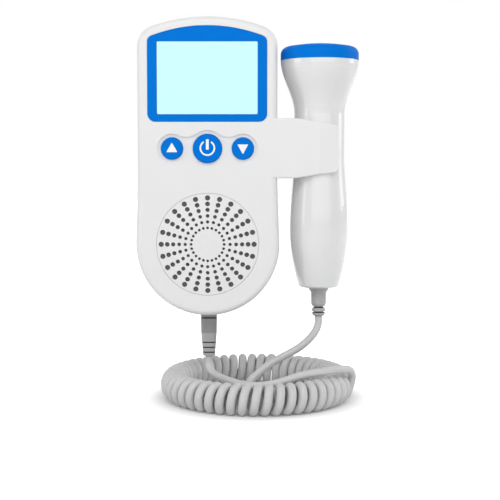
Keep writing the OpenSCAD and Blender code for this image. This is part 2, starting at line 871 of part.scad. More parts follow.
module headphone_socket() {
    face_x = 0.3 - shoulder_w / 2;
    color("dimgray")
    difference() {
        union() {
            block([face_x + wall, board_back_y, jack_z - jack_w / 2],
                [face_x + jack_l + 1, mid_y + jack_w / 2, jack_z + jack_w / 2]);
            translate([face_x, mid_y, jack_z])
                rotate([0, 90, 0])
                    cylinder(h = wall + 1, r = jack_nose_r, $fn = round_fn);
        }
        translate([face_x - 1, mid_y, jack_z])
            rotate([0, 90, 0])
                cylinder(h = jack_l + 1, d = jack_bore_d, $fn = round_fn);
    }
}

// The moulded plug: a flat-faced handle that tapers into a grooved strain relief.
// Each groove is [height over the plug's end, width, depth below the sides there].
plug_grooves = [[17.6, 0.7, 0.45], [6.15, 0.5, 0.5], [3.75, 0.5, 0.6], [1.45, 0.5, 0.6]];
plug_corner_r = 1.6;
plug_step = 0.15;
function plug_taper(z) = z > plug_handle_z ? 0
    : (z - plug_handle_z) / (plug_bottom_z - plug_handle_z) * (plug_w - plug_low_w) / 2 + plug_step;
function plug_ring(z, inset) =
    let (cut = 2 * (plug_taper(z) + inset))
    round_rect(plug_w - cut, plug_depth - cut, plug_corner_r - inset, 0, mid_y, 4);

module plug_part(z0, z1) {
    loft([for (z = [z0, z1]) [for (p = plug_ring(z, 0)) [p[0], p[1], z]]]);
}

module unit_plug() {
    color(grey_rubber)
    difference() {
        union() {
            plug_part(plug_bottom_z, plug_handle_z);
            plug_part(plug_handle_z, plug_top_z);
        }
        for (groove = plug_grooves)
            let (z = plug_bottom_z + groove[0])
                translate([0, 0, z])
                    linear_extrude(groove[1])
                        difference() {
                            translate([0, mid_y])
                                square(20, center = true);
                            polygon(plug_ring(z, groove[2]));
                        }
    }
}

module unit_plug_pin() {
    color(metal)
    translate([0, mid_y, plug_top_z])
        rotate_extrude($fn = round_fn)
            polygon([
                [0, 0], [pin_d / 2 - 0.05, 0], [pin_d / 2 - 0.05, 8.4], [1.45, 8.8], [1.45, 9.4],
                [pin_d / 2 - 0.05, 10], [0.4, 12.4], [0, 12.4]
            ]);
}

// ---------------------------------------------------------------- cord

function tangents(path) = [
    for (i = [0 : len(path) - 1]) unit(path[min(i + 1, len(path) - 1)] - path[max(i - 1, 0)])
];
function square_to(v, along) = unit(v - along * (v * along));
// Side directions carried along the path without twist
function carried(along, first) = [
    for (i = 0, v = square_to(first, along[0]); i < len(along);
        i = i + 1, v = i < len(along) ? square_to(v, along[i]) : v) v
];

// A tube of radius r along a path, with its first seam turned towards first
module tube(path, r, sides, first) {
    along = tangents(path);
    side = carried(along, first);
    rings = [
        for (i = [0 : len(path) - 1]) let (across = cross(along[i], side[i]))
            [for (k = [0 : sides - 1]) let (a = 360 * k / sides)
                path[i] + r * (cos(a) * side[i] + sin(a) * across)]
    ];
    loft(rings);
}

// A point of the curly cord's middle line, t curls from its start
function coil_point(t) =
    let (a = ring_start_deg + ring_sweep_deg * t / curl_turns, b = curl_start_deg - 360 * t)
    let (reach = ring_r + curl_reach * cos(b))
    ring_centre + [reach * cos(a), -reach * sin(a), curl_rise * sin(b)];
function coil_way(t) = unit(coil_point(t + 0.001) - coil_point(t - 0.001));

coil_line = [for (i = [0 : coil_rings]) coil_point(curl_turns * i / coil_rings)];
coil_start = coil_line[0] - cord_d * coil_way(0);
coil_end = coil_line[coil_rings] + cord_d * coil_way(curl_turns);
coil_path = concat([coil_start], coil_line, [coil_end]);
function from_plug(route) = [for (p = route) p + [0, mid_y, plug_bottom_z]];

unit_path = concat(
    [[0, mid_y, plug_bottom_z], [0, mid_y, plug_bottom_z - lead_d]],
    from_plug(unit_route),
    [coil_start - coil_way(0), coil_start]
);
probe_path = concat(
    [[probe_x, probe_y, boot_end_z], [probe_x, probe_y, boot_end_z - lead_d]],
    from_plug(probe_route),
    [coil_end + cord_d * coil_way(curl_turns), coil_end]
);

// The curly cord's least gap to itself, between points more than half a curl apart
coil_gap = min([
    for (i = [0 : len(coil_line) - 1]) for (j = [i + rings_per_curl / 2 : len(coil_line) - 1])
        if (j - i < 2 * rings_per_curl || j - i > coil_rings - 2 * rings_per_curl)
            norm(coil_line[i] - coil_line[j])
]) - cord_d;
function run(path) = [for (i = [1 : len(path) - 1]) norm(path[i] - path[i - 1])];
function total(list, i = 0, sum = 0) = i == len(list) ? sum : total(list, i + 1, sum + list[i]);
echo(curly_cord_least_gap = coil_gap, curly_cord_length = total(run(coil_path)));  // curly_cord

module unit_lead() {
    color(cord_grey)
    tube(unit_path, lead_d / 2, lead_sides, [1, 0, 0]);
}

module curly_cord() {
    color(cord_grey)
    tube(coil_path, cord_d / 2, coil_sides, coil_point(0) - ring_centre);
}

module probe_lead() {
    color(cord_grey)
    tube(probe_path, lead_d / 2, lead_sides, [1, 0, 0]);
}

// ---------------------------------------------------------------- probe

// The probe's outer radius at height z: head, flare, neck, bulge and drawn-in tail
function probe_r(z) =
    z > flare_z ? (neck_d + (head_d - neck_d) * ease(min(1, (z - flare_z) / (seam_z - flare_z)))) / 2
    : z > bulge_top_z ? neck_d / 2
    : z > bulge_z ? (neck_d + (bulge_d - neck_d) * ease((bulge_top_z - z) / (bulge_top_z - bulge_z))) / 2
    : bulge_d / 2 - pow(bulge_z - z, 2) / (2 * tail_arc_r);

// The shells' wall, as points of radius and height
side_low_z = probe_bottom_z + bottom_round;
grip_steps = round((seam_z - side_low_z) / profile_step);
function side_z(k) = side_low_z + (seam_z - side_low_z) * k / grip_steps;
probe_floor_z = probe_bottom_z + probe_floor_t;
probe_side = [for (k = [0 : grip_steps]) [probe_r(side_z(k)), side_z(k)]];
probe_foot_r = probe_side[0][0];
probe_outer = concat(
    arc(probe_foot_r - bottom_round, side_low_z, bottom_round, 270, 360, 4),
    [for (k = [1 : grip_steps]) probe_side[k]]
);
probe_inner = [for (p = probe_side) if (p[1] > probe_floor_z) [p[0] - probe_wall, p[1]]];
probe_wall_points = concat(
    [[boot_hole_r, probe_bottom_z]],
    probe_outer,
    flip(probe_inner),
    [[probe_inner[0][0], probe_floor_z], [boot_hole_r, probe_floor_z]]
);

// One of the two half shells, turned to its side of the parting plane
module probe_half(turn) {
    color(white_plastic)
    translate([probe_x, probe_y, 0])
        rotate([0, 0, turn])
            rotate_extrude(angle = 180, $fn = round_fn)
                polygon(probe_wall_points);
}

module probe_front_shell() {
    probe_half(180);
}

module probe_back_shell() {
    probe_half(0);
}

// The blue cap: a shallow dome on a rounded rim, with a skirt that fits in the shells
skirt_r = probe_r(seam_z - skirt_l) - probe_wall - fit;
seal_z = seam_z - skirt_l / 2;
cap_top_z = seam_z + cap_h;
module probe_cap() {
    rim_z = cap_top_z - dome_rise;
    rim_r = head_d / 2;
    flat_r = rim_r - cap_round;
    dome_r = (flat_r * flat_r + dome_rise * dome_rise) / (2 * dome_rise);
    dome = [for (k = [1 : 8]) let (r = flat_r * (1 - k / 8))
        [r, cap_top_z - dome_r + sqrt(dome_r * dome_r - r * r)]];
    color(blue_plastic)
    translate([probe_x, probe_y, 0])
        rotate_extrude($fn = round_fn)
            polygon(concat(
                [[rim_r, seam_z]],
                arc(flat_r, rim_z - cap_round, cap_round, 0, 90, 8),
                dome,
                [[0, rim_z - cap_face_t], [skirt_r - skirt_t, rim_z - cap_face_t],
                    [skirt_r - skirt_t, seam_z - skirt_l], [skirt_r, seam_z - skirt_l],
                    [skirt_r, seal_z - seal_d / 2], [skirt_r - 0.7, seal_z - seal_d / 2],
                    [skirt_r - 0.7, seal_z + seal_d / 2], [skirt_r, seal_z + seal_d / 2],
                    [skirt_r, seam_z]]
            ));
}

module probe_seal() {
    color("black")
    translate([probe_x, probe_y, seal_z])
        rotate_extrude($fn = round_fn)
            translate([skirt_r - 0.7 + 0.05 + 0.45, 0])
                circle(d = 0.9, $fn = 24);
}

// Two half discs: one sends and one listens
transducer_t = 2;
transducer_z = cap_top_z - dome_rise - cap_face_t - transducer_t;
backing_t = 3;
module transducer() {
    color("gold")
    translate([probe_x, probe_y, transducer_z])
        for (turn = [0, 180])
            rotate([0, 0, turn])
                translate([0, 0.3, 0])
                    intersection() {
                        cylinder(h = transducer_t, r = skirt_r - skirt_t - 1, $fn = round_fn);
                        translate([-40, 0, 0])
                            cube([80, 40, transducer_t]);
                    }
}

module transducer_backing() {
    color("dimgray")
    translate([probe_x, probe_y, transducer_z - backing_t])
        cylinder(h = backing_t, r = skirt_r - skirt_t - 0.2, $fn = round_fn);
}

// The amplifier board is held at its edges by the walls of the neck
probe_board_z = 34;
// Its two chips: [side, half width, low, high, thickness]
probe_chips = [[-1, 3, 4, 10, 1.2], [1, 4, -14, -6, 1.6]];
module probe_board() {
    w = neck_d - 2 * probe_wall - 0.6;
    half_t = probe_board_t / 2;
    color("seagreen")
    translate([probe_x, probe_y, 0]) {
        block([-w / 2, -half_t, -probe_board_z], [w / 2, half_t, probe_board_z]);
        for (chip = probe_chips)
            translate([0, chip[0] * (half_t + (chip[4] - small) / 2), (chip[2] + chip[3]) / 2])
                cube([2 * chip[1], chip[4] + small, chip[3] - chip[2]], center = true);
    }
}

// The strain relief: a hook inside the shells, then a flared collar, a straight grip,
// a waist and a grooved bead, as points of radius and height over the shells' foot
boot_neck_r = boot_hole_r - 0.1;
boot_hook_t = 1.5;
boot_inside = [
    [0, probe_floor_t + 0.1 + boot_hook_t], [5, probe_floor_t + 0.1 + boot_hook_t],
    [5, probe_floor_t + 0.1], [boot_neck_r, probe_floor_t + 0.1], [boot_neck_r, -0.1]
];
boot_outside = [
    [4.8, -0.1], [4.7, -0.8], [4.1, -1.7], [3.65, -2.4], [3.5, -3], [3.45, -7.6], [3.2, -8.4],
    [2.7, -9], [2.1, -9.1], [2.1, -9.6], [2.6, -9.65], [2.95, -10], [3.1, -10.5], [3.1, -11.2],
    [2.9, -11.35], [2.2, -11.4], [2.2, -11.9], [2.9, -11.95], [3.05, -12.3], [2.9, -12.9],
    [2.4, -boot_l], [0, -boot_l]
];
module probe_boot() {
    color(grey_rubber)
    translate([probe_x, probe_y, probe_bottom_z])
        rotate_extrude($fn = round_fn)
            polygon(concat(boot_inside, boot_outside));
}

// ---------------------------------------------------------------- the part

front_shell();
back_shell();
display_bezel();
display_window();
lcd_panel();
main_board();
power_button();
volume_up_button();
volume_down_button();
button_switches();
speaker_grille();
speaker_cloth();
speaker_frame();
speaker_cone();
battery_door();
battery_cells();
battery_springs();
contact_bridge();
contact_terminals();
housing_screws();
plug_socket();
headphone_socket();
unit_plug();
unit_plug_pin();
unit_lead();
curly_cord();
probe_lead();
probe_boot();
probe_front_shell();
probe_back_shell();
probe_cap();
probe_seal();
transducer();
transducer_backing();
probe_board();
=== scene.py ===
import bpy
import math
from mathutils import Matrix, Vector


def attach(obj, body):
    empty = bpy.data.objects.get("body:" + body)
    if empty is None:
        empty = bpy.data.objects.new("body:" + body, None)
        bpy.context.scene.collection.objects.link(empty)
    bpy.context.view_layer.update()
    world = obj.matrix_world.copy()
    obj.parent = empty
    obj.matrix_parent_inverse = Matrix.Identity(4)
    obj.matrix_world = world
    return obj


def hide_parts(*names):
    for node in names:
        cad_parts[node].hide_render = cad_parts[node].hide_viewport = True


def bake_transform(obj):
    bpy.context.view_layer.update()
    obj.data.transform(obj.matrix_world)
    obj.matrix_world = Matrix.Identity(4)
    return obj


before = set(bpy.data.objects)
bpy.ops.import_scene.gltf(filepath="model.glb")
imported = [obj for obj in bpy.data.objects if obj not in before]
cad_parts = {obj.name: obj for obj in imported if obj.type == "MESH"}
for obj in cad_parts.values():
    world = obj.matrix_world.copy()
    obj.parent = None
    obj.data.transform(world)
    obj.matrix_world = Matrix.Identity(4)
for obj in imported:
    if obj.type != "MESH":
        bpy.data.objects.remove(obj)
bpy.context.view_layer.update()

# Lengths are written in millimetres, as in the CAD source, and turned into metres by MM.
# Only the lamps are placed in metres.
MM = 0.001

# Places that repeat the CAD source's: the middle of the depth, the surface that the cord lies
# on, the probe's axis, and the row of buttons with the face of their caps
MID_Y = -14.0
SURFACE_Z = -107.6
PROBE_X = 51.0
BUTTON_PITCH = 15.9
BUTTON_Z = 8.4
CAP_FACE_Y = -28.5


# ---------------------------------------------------------------- camera

LENS = 80
SENSOR_WIDTH = 36
CAMERA_PLACE = Vector((19.1, -528, 0.8))
CAMERA_PITCH = 4.35


def make_camera():
    """The photograph's view: a long lens in front of the unit, looking slightly down."""
    data = bpy.data.cameras.new("camera")
    data.lens = LENS
    data.sensor_width = SENSOR_WIDTH
    data.clip_start = 0.01
    data.clip_end = 20
    camera = bpy.data.objects.new("camera", data)
    camera.location = CAMERA_PLACE * MM
    camera.rotation_euler = (math.radians(90 - CAMERA_PITCH), 0, 0)
    bpy.context.scene.collection.objects.link(camera)
    bpy.context.scene.camera = camera


# ---------------------------------------------------------------- mesh helpers

def add_mesh(name, points, faces, smooth=True):
    """A mesh object from points in millimetres."""
    mesh = bpy.data.meshes.new(name)
    mesh.from_pydata([Vector(p) * MM for p in points], [], faces)
    mesh.validate()
    mesh.update()
    if smooth:
        mesh.shade_smooth()
    piece = bpy.data.objects.new(name, mesh)
    bpy.context.scene.collection.objects.link(piece)
    return piece


def smooth_route(points, steps, beyond):
    """A Catmull-Rom curve through the points, whose end heads for the point beyond."""
    points = [Vector(p) for p in points]
    padded = [2 * points[0] - points[1]] + points + [Vector(beyond)]
    curve = []
    for i in range(1, len(padded) - 2):
        a, b, c, d = padded[i - 1:i + 3]
        for k in range(steps):
            t = k / steps
            curve.append(0.5 * (2 * b + (c - a) * t + (2 * a - 5 * b + 4 * c - d) * t ** 2
                                + (3 * b - 3 * c + d - a) * t ** 3))
    return curve + [points[-1]]


def add_tube(name, path, radii, sides):
    """A tube whose rings are carried along the path without twist, with flat ends."""
    count = len(path)
    ways = [(path[min(i + 1, count - 1)] - path[max(i - 1, 0)]).normalized() for i in range(count)]
    side = ways[0].orthogonal().normalized()
    points = []
    for at, way, radius in zip(path, ways, radii):
        side = (side - way * side.dot(way)).normalized()
        across = way.cross(side)
        for k in range(sides):
            a = 2 * math.pi * k / sides
            points.append(at + radius * (math.cos(a) * side + math.sin(a) * across))
    faces = [tuple(range(sides - 1, -1, -1))]
    for i in range(count - 1):
        for k in range(sides):
            a = i * sides + k
            b = i * sides + (k + 1) % sides
            faces.append((a, b, b + sides, a + sides))
    faces.append(tuple(range((count - 1) * sides, count * sides)))
    return add_mesh(name, points, faces)


# ---------------------------------------------------------------- cords

# The curls are as high and wide as the CAD's. Their strand is thicker, as in the photograph:
# the CAD's is 3.8, so that its least gap stays open.
CORD_D = 4.0
LEAD_D = 3.5
CURL_HEIGHT = 14.2
CURL_WIDTH = 12.4
CURL_RISE = (CURL_HEIGHT - CORD_D) / 2
CURL_REACH = (CURL_WIDTH - CORD_D) / 2

# The ring that the curls are wound round. Angles are in degrees.
RING_R = 38.9
RING_CENTRE = Vector((22.5, MID_Y, SURFACE_Z + CURL_HEIGHT / 2))
RING_START = 14.0
RING_SWEEP = 348.0
CURL_START = -20.0
CURL_TURNS = 49 + 70 / 360

# Rings of a tube for each curl and for each stretch of a route, and the sides of a ring
COIL_STEPS = 24
LEAD_STEPS = 6
CORD_SIDES = 16

# Where the leads leave the plug and the probe's boot, both straight down
PLUG_END = Vector((0, MID_Y, -87.5))
BOOT_END = Vector((PROBE_X, MID_Y, -68.8))

# The two leads' routes, from the middle of the plug's end, as in the CAD source
UNIT_ROUTE = [
    (0.3, -1.3, -6.3), (2.6, -4, -8.3), (6, -9, -9.1), (9, -15, -9),
    (11.8, -21, -8.8), (15, -25.8, -8.8), (19.4, -28.5, -8.9), (24.8, -29.3, -8.6),
    (30.2, -28.8, -7.8), (35.6, -28, -6.4), (40.7, -27, -4.9), (46.1, -26.2, -3.8),
    (51.4, -24.7, -3.3), (56.3, -22.1, -3.1), (60.6, -18.6, -3.3),
    (64.3, -14.4, -4.5), (65.9, -11.2, -7.4),
]
PROBE_ROUTE = [
    (49.7, -0.2, 11.5), (46.6, -0.5, 7.5), (42, -1, 3.7), (36.7, -1.5, 0.7),
    (31.6, -2, -2), (27, -2.8, -4.7), (22.8, -4, -7.9), (18.9, -6, -11.5),
    (16.2, -9.2, -14.9), (15, -13.2, -17.5), (15.8, -17.6, -18.2), (19.2, -21.4, -18.2),
    (24.5, -23.6, -18.2), (30.6, -23, -18.2), (36.4, -20, -18.2), (41, -15.6, -18.2),
    (44.8, -10.4, -18.2), (48.6, -5, -18.2),
]


def coil_point(t):
    """The curly cord's middle line, t curls from its start.

    It is wound as in the CAD source, but 0.1 mm tighter to make room for the thicker strand.
    """
    a = math.radians(RING_START + RING_SWEEP * t / CURL_TURNS)
    b = math.radians(CURL_START - 360 * t)
    reach = RING_R + CURL_REACH * math.cos(b)
    return RING_CENTRE + Vector((reach * math.cos(a), -reach * math.sin(a), CURL_RISE * math.sin(b)))


def coil_way(t):
    return (coil_point(t + 0.001) - coil_point(t - 0.001)).normalized()


def coil_end():
    """Where the curly cord's last curl runs out and meets the probe's lead."""
    return coil_point(CURL_TURNS) + CORD_D * coil_way(CURL_TURNS)


def lead_path(exit_point, route, end_points, beyond):
    """A lead: straight out of its exit, along its route, and on through its end points."""
    straight = [exit_point, exit_point - Vector((0, 0, LEAD_D))]
    return smooth_route(straight + [PLUG_END + Vector(p) for p in route] + end_points,
                        LEAD_STEPS, beyond)


def make_curly_cord():
    """The unit's lead and the curly cord as one tube, which thickens before its first curl."""
    rings = round(COIL_STEPS * CURL_TURNS)
    coil = [coil_point(CURL_TURNS * i / rings) for i in range(rings + 1)]
    coil_start = coil[0] - CORD_D * coil_way(0)
    lead = lead_path(PLUG_END, UNIT_ROUTE, [coil_start], coil[0])
    path = lead + coil + [coil_end()]
    radii = [LEAD_D / 2] * len(lead) + [CORD_D / 2] * (len(coil) + 1)
    for k in range(LEAD_STEPS):
        radii[len(lead) - 1 - k] += (CORD_D - LEAD_D) / 2 * (1 - k / LEAD_STEPS)
    cord = add_tube("curly_cord_jacket", path, radii, CORD_SIDES)
    dress(cord, "jacket")
    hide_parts("unit_lead", "curly_cord")
    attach(cord, "main")


def make_probe_lead():
    """The lead from the probe to the ring's other end."""
    end = coil_end()
    before_end = end + CORD_D * coil_way(CURL_TURNS)
    path = lead_path(BOOT_END, PROBE_ROUTE, [before_end, end], coil_point(CURL_TURNS))
    lead = add_tube("probe_lead_jacket", path, [LEAD_D / 2] * len(path), CORD_SIDES)
    dress(lead, "jacket")
    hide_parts("probe_lead")
    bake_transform(lead)


# ---------------------------------------------------------------- button marks

# How far a mark stands out of its cap, and how far it reaches in
MARK_RISE = 0.05
MARK_DEPTH = 0.2


def add_plate(name, outlines, body):
    """Thin white inlays on a button's cap, from closed outlines of (x, z) in millimetres."""
    points = []
    faces = []
    for outline in outlines:
        base = len(points)
        n = len(outline)
        for y in (CAP_FACE_Y - MARK_RISE, CAP_FACE_Y + MARK_DEPTH):
            points += [(x, y, z) for x, z in outline]
        faces.append(tuple(range(base, base + n)))
        faces.append(tuple(range(base + 2 * n - 1, base + n - 1, -1)))
        for i in range(n):
            j = (i + 1) % n
            faces.append((base + j, base + i, base + n + i, base + n + j))
    piece = add_mesh(name, points, faces, smooth=False)
    dress(piece, "mark")
    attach(piece, body)


def round_corners(corners, cut):
    """A polygon whose corners are cut back by so much and rounded."""
    steps = 4
    outline = []
    n = len(corners)
    for i in range(n):
        p = Vector(corners[i])
        a = p + cut * (Vector(corners[i - 1]) - p).normalized()
        b = p + cut * (Vector(corners[(i + 1) % n]) - p).normalized()
        for k in range(steps + 1):
            t = k / steps
            outline.append(tuple(a * (1 - t) ** 2 + 2 * p * t * (1 - t) + b * t ** 2))
    return outline


def triangle(x, base_z, apex_z, width):
    corners = [(x - width / 2, base_z), (x + width / 2, base_z), (x, apex_z)]
    if apex_z < base_z:
        corners = corners[::-1]
    return round_corners(corners, 0.35)


def arc(x, z, radius, angles):
    return [(x + radius * math.cos(a), z + radius * math.sin(a)) for a in angles]


def power_symbol(x, z):
    """An open ring and a bar through its gap. The gap is half the opening, in degrees."""
    ring_r = 3.15
    stroke = 0.72
    gap = 32
    steps = 40
    left = x - 0.63
    right = x + 0.63
    low = z - 0.75
    high = z + 3.9
    angles = [math.radians(90 + gap + (360 - 2 * gap) * k / steps) for k in range(steps + 1)]
    outer = arc(x, z, ring_r + stroke / 2, angles)
    inner = arc(x, z, ring_r - stroke / 2, angles)
    bar = round_corners([(left, low), (right, low), (right, high), (left, high)], 0.3)
    return [outer + inner[::-1], bar]


def make_marks():
    add_plate("power_mark", power_symbol(0, BUTTON_Z + 0.2), "power_button")
    add_plate("volume_up_mark", [triangle(-BUTTON_PITCH, BUTTON_Z - 1.65, BUTTON_Z + 2.6, 5.0)],
              "volume_up_button")
    add_plate("volume_down_mark", [triangle(BUTTON_PITCH, BUTTON_Z + 1.8, BUTTON_Z - 2.6, 4.9)],
              "volume_down_button")


# ---------------------------------------------------------------- material helpers

def new_material(name, color, roughness, metallic=0.0):
    """A Principled material. What is the same all over sits on the shader's own sockets."""
    material = bpy.data.materials.new(name)
    material.use_nodes = True
    shader = material.node_tree.nodes["Principled BSDF"]
    shader.inputs["Base Color"].default_value = (*color, 1)
    shader.inputs["Roughness"].default_value = roughness
    shader.inputs["Metallic"].default_value = metallic
    return material, material.node_tree, shader


def add_node(tree, kind, inputs=(), **settings):
    node = tree.nodes.new(kind)
    for name, value in settings.items():
        setattr(node, name, value)
    for name, value in dict(inputs).items():
        node.inputs[name].default_value = value
    return node


def object_place(tree, stretch=(1, 1, 1)):
    """Object coordinates, stretched per axis."""
    coordinates = add_node(tree, "ShaderNodeTexCoord")
    mapping = add_node(tree, "ShaderNodeMapping", {"Scale": stretch})
    tree.links.new(coordinates.outputs["Object"], mapping.inputs["Vector"])
    return mapping.outputs["Vector"]


def split_place(tree, place):
    """The X, Y and Z of a place."""
    parts = add_node(tree, "ShaderNodeSeparateXYZ")
    tree.links.new(place, parts.inputs["Vector"])
    return parts.outputs


def noise(tree, place, size_mm, detail=3.0):
    """Noise whose features are about size_mm wide."""
    texture = add_node(tree, "ShaderNodeTexNoise", {"Scale": 1 / (size_mm * MM), "Detail": detail})
    tree.links.new(place, texture.inputs["Vector"])
    return texture.outputs["Fac"]


def crossed_waves(tree, place, size_mm, operation):
    """Waves along X and along Z, joined by a maths operation, each about size_mm / 3 long."""
    both = add_node(tree, "ShaderNodeMath", operation=operation)
    for socket, axis in zip(both.inputs, ("X", "Z")):
        wave = add_node(tree, "ShaderNodeTexWave", {"Scale": 1 / (size_mm * MM)}, bands_direction=axis)
        tree.links.new(place, wave.inputs["Vector"])
        tree.links.new(wave.outputs["Fac"], socket)
    return both.outputs["Value"]


def spread(tree, factor, low, high):
    """Maps a factor round one half onto low to high."""
    mapped = add_node(tree, "ShaderNodeMapRange",
                      {"From Min": 0.3, "From Max": 0.7, "To Min": low, "To Max": high})
    tree.links.new(factor, mapped.inputs["Value"])
    return mapped.outputs["Result"]


def mix_colors(tree, factor, low, high):
    mixed = add_node(tree, "ShaderNodeMix", data_type="RGBA")
    mixed.inputs["A"].default_value = (*low, 1)
    mixed.inputs["B"].default_value = (*high, 1)
    tree.links.new(factor, mixed.inputs["Factor"])
    return mixed.outputs["Result"]


def darker(color, share):
    return tuple(c * share for c in color)


def add_bump(tree, shader, height, strength, depth_mm):
    bump = add_node(tree, "ShaderNodeBump", {"Strength": strength, "Distance": depth_mm * MM})
    tree.links.new(height, bump.inputs["Height"])
    tree.links.new(bump.outputs["Normal"], shader.inputs["Normal"])


# ---------------------------------------------------------------- kinds of material

def moulded(name, color, roughness, tone=0.03, mottle_mm=14, grain=0.12):
    """Moulded plastic or rubber: broad tone changes, uneven gloss and a fine grain."""
    grain_mm = 0.35
    grain_depth_mm = 0.02
    material, tree, shader = new_material(name, color, roughness)
    place = object_place(tree)
    broad = spread(tree, noise(tree, place, mottle_mm), 0, 1)
    tree.links.new(mix_colors(tree, broad, darker(color, 1 - tone), color), shader.inputs["Base Color"])
    uneven = spread(tree, noise(tree, place, grain_mm * 3), roughness - 0.03, roughness + 0.03)
    tree.links.new(uneven, shader.inputs["Roughness"])
    add_bump(tree, shader, noise(tree, place, grain_mm, 2.0), grain, grain_depth_mm)
    return material


def make_glossy(material, coat, coat_roughness):
    """Adds a clear gloss over the material."""
    shader = material.node_tree.nodes["Principled BSDF"]
    shader.inputs["Coat Weight"].default_value = coat
    shader.inputs["Coat Roughness"].default_value = coat_roughness
    return material


def make_deep(material, specular):
    """Weakens the surface reflection, so that a dark colour stays deep."""
    shader = material.node_tree.nodes["Principled BSDF"]
    shader.inputs["Specular IOR Level"].default_value = specular
    return material


def banded(material, bands):
    """Paints bands over a material's colour, each from one height to another in millimetres."""
    tree = material.node_tree
    shader = tree.nodes["Principled BSDF"]
    shade = shader.inputs["Base Color"].links[0].from_socket
    height = split_place(tree, object_place(tree))["Z"]
    for low, high, color in bands:
        inside = add_node(tree, "ShaderNodeMath", operation="COMPARE")
        inside.inputs[1].default_value = (low + high) / 2 * MM
        inside.inputs[2].default_value = (high - low) / 2 * MM
        mixed = add_node(tree, "ShaderNodeMix", data_type="RGBA")
        mixed.inputs["B"].default_value = (*color, 1)
        tree.links.new(height, inside.inputs[0])
        tree.links.new(inside.outputs["Value"], mixed.inputs["Factor"])
        tree.links.new(shade, mixed.inputs["A"])
        shade = mixed.outputs["Result"]
    tree.links.new(shade, shader.inputs["Base Color"])
    return material


def lens(name, color, glow_color):
    """The pale lens: a faint grid of display dots under a glossy face, lit from behind."""
    material, tree, shader = new_material(name, color, 0.16)
    grid = crossed_waves(tree, object_place(tree), 1.4, "MULTIPLY")
    tree.links.new(mix_colors(tree, grid, darker(color, 0.985), color), shader.inputs["Base Color"])
    shader.inputs["Emission Color"].default_value = (*glow_color, 1)
    shader.inputs["Emission Strength"].default_value = 0.22
    return make_glossy(material, 0.4, 0.05)


def woven(name, color, thread_mm):
    """A fine woven cloth of two crossing sets of threads, with gaps as wide as the threads."""
    size_per_thread = 6.3
    material, tree, shader = new_material(name, color, 0.85)
    threads = crossed_waves(tree, object_place(tree), size_per_thread * thread_mm, "MAXIMUM")
    tree.links.new(mix_colors(tree, threads, darker(color, 0.6), color), shader.inputs["Base Color"])
    add_bump(tree, shader, threads, 0.6, 0.1)
    return material


def metal(name, color, roughness, stretch=(1, 1, 12)):
    """Bare metal with a drawn or brushed grain along one axis."""
    material, tree, shader = new_material(name, color, roughness, metallic=1.0)
    lines = noise(tree, object_place(tree, stretch), 0.5, 4.0)
    tree.links.new(spread(tree, lines, roughness - 0.08, roughness + 0.1), shader.inputs["Roughness"])
    tree.links.new(mix_colors(tree, lines, darker(color, 0.9), color), shader.inputs["Base Color"])
    add_bump(tree, shader, lines, 0.15, 0.02)
    return material


def circuit(name):
    """Green solder mask in two tones, with brighter tracks between its fields."""
    material, tree, shader = new_material(name, (0.02, 0.16, 0.07), 0.35)
    fields = add_node(tree, "ShaderNodeTexBrick",
                      {"Scale": 1 / (6 * MM), "Mortar Size": 0.03, "Color1": (0.02, 0.15, 0.06, 1),
                       "Color2": (0.02, 0.19, 0.08, 1), "Mortar": (0.05, 0.3, 0.12, 1)})
    parts = split_place(tree, object_place(tree))
    flat = add_node(tree, "ShaderNodeCombineXYZ")
    tree.links.new(parts["X"], flat.inputs["X"])
    tree.links.new(parts["Z"], flat.inputs["Y"])
    tree.links.new(flat.outputs["Vector"], fields.inputs["Vector"])
    tree.links.new(fields.outputs["Color"], shader.inputs["Base Color"])
    add_bump(tree, shader, fields.outputs["Fac"], 0.3, 0.05)
    return make_glossy(material, 0.3, 0.2)


def cell_sleeve(name):
    """A battery's sleeve: a dark band below one height and a coppery one above it."""
    split_z = 40
    edge = 0.2
    material, tree, shader = new_material(name, (0.5, 0.3, 0.12), 0.3, metallic=0.6)
    place = object_place(tree)
    above = add_node(tree, "ShaderNodeMapRange",
                     {"From Min": (split_z - edge) * MM, "From Max": (split_z + edge) * MM})
    tree.links.new(split_place(tree, place)["Z"], above.inputs["Value"])
    bands = mix_colors(tree, above.outputs["Result"], (0.03, 0.03, 0.035), (0.62, 0.36, 0.15))
    tree.links.new(bands, shader.inputs["Base Color"])
    tree.links.new(spread(tree, noise(tree, place, 1.5), 0.24, 0.38), shader.inputs["Roughness"])
    return material


# ---------------------------------------------------------------- the object's materials

WHITE = (0.80, 0.80, 0.80)
PROBE_WHITE = (0.74, 0.74, 0.745)
BLUE = (0.0004, 0.185, 0.71)
CORD_GREY = (0.60, 0.60, 0.60)
RUBBER_GREY = (0.42, 0.42, 0.425)
PLUG_GREY = (0.28, 0.28, 0.285)
# A near-black that is painted into grooves and gaps as shade
PAINTED_GROOVE_SHADE = (0.012, 0.012, 0.012)
LENS_COLOR = (0.46, 0.78, 0.765)
LENS_GLOW = (0.42, 1.0, 0.98)

# The plug's grip is darker above its taper, and the boot is an even grey at its upper end.
# The near-black bands are painted shade, laid in the grooves of the CAD's plug and boot.
PLUG_BANDS = [
    (-76.7, 0, PLUG_GREY),
    (-69.95, -69.15, PAINTED_GROOVE_SHADE),
    (-81.4, -80.8, PAINTED_GROOVE_SHADE),
    (-83.8, -83.2, PAINTED_GROOVE_SHADE),
    (-86.1, -85.5, PAINTED_GROOVE_SHADE),
]
BOOT_BANDS = [
    (-60, 0, RUBBER_GREY),
    (-65.1, -64.45, PAINTED_GROOVE_SHADE),
    (-67.4, -66.75, PAINTED_GROOVE_SHADE),
]


def rubber(name):
    return moulded(name, RUBBER_GREY, 0.5, tone=0.06, mottle_mm=5, grain=0.2)


